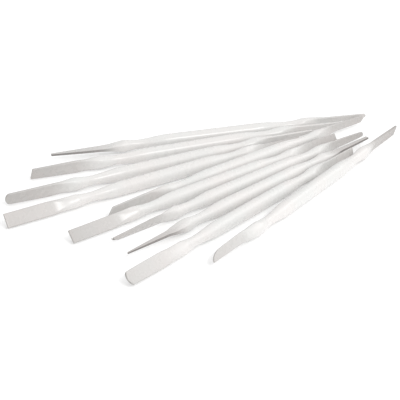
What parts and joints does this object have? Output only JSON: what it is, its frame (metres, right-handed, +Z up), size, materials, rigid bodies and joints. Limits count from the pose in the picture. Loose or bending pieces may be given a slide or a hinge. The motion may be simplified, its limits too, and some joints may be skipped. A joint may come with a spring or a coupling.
{
  "type": "sculpting tool set",
  "caption": "Loose set of double-ended plastic sculpting tools with round waisted handles and different flat, pointed, rounded, slanted and square blades, fanned out on a table.",
  "frame": {"origin": "middle of the set's box, on the surface that the tools lie on", "axes": "+X along the longer side of the fan, towards the tools' far ends; +Y away from the viewer, across the fan; +Z up"},
  "size_m": [0.1832, 0.1656, 0.0067],
  "materials": {
    "white_plastic": "semi-gloss moulded plastic"
  },
  "bodies": {
    "taper_point_tool": {"taper_point_tool": "white_plastic"},
    "square_blade_tool": {"square_blade_tool": "white_plastic"},
    "round_end_spatula": {"round_end_spatula": "white_plastic"},
    "wide_chisel_tool": {"wide_chisel_tool": "white_plastic"},
    "slant_knife_tool": {"slant_knife_tool": "white_plastic"},
    "flat_scraper_tool": {"flat_scraper_tool": "white_plastic"},
    "ridge_knife_tool": {"ridge_knife_tool": "white_plastic"},
    "needle_point_tool": {"needle_point_tool": "white_plastic"},
    "broad_round_spatula": {"broad_round_spatula": "white_plastic"},
    "butter_knife_tool": {"butter_knife_tool": "white_plastic"}
  },
  "joints": [
    {"name": "taper_point_lift", "type": "slide", "parent": "slant_knife_tool", "child": "taper_point_tool", "axis": [0, 0, 1], "range_m": [0, 0.08]},
    {"name": "square_blade_lift", "type": "slide", "parent": "slant_knife_tool", "child": "square_blade_tool", "axis": [0, 0, 1], "range_m": [0, 0.08]},
    {"name": "round_end_lift", "type": "slide", "parent": "slant_knife_tool", "child": "round_end_spatula", "axis": [0, 0, 1], "range_m": [0, 0.08]},
    {"name": "wide_chisel_lift", "type": "slide", "parent": "slant_knife_tool", "child": "wide_chisel_tool", "axis": [0, 0, 1], "range_m": [0, 0.08]},
    {"name": "flat_scraper_lift", "type": "slide", "parent": "slant_knife_tool", "child": "flat_scraper_tool", "axis": [0, 0, 1], "range_m": [0, 0.08]},
    {"name": "ridge_knife_lift", "type": "slide", "parent": "slant_knife_tool", "child": "ridge_knife_tool", "axis": [0, 0, 1], "range_m": [0, 0.08]},
    {"name": "needle_point_lift", "type": "slide", "parent": "slant_knife_tool", "child": "needle_point_tool", "axis": [0, 0, 1], "range_m": [0, 0.08]},
    {"name": "broad_round_lift", "type": "slide", "parent": "slant_knife_tool", "child": "broad_round_spatula", "axis": [0, 0, 1], "range_m": [0, 0.08]},
    {"name": "butter_knife_lift", "type": "slide", "parent": "slant_knife_tool", "child": "butter_knife_tool", "axis": [0, 0, 1], "range_m": [0, 0.08]}
  ]
}
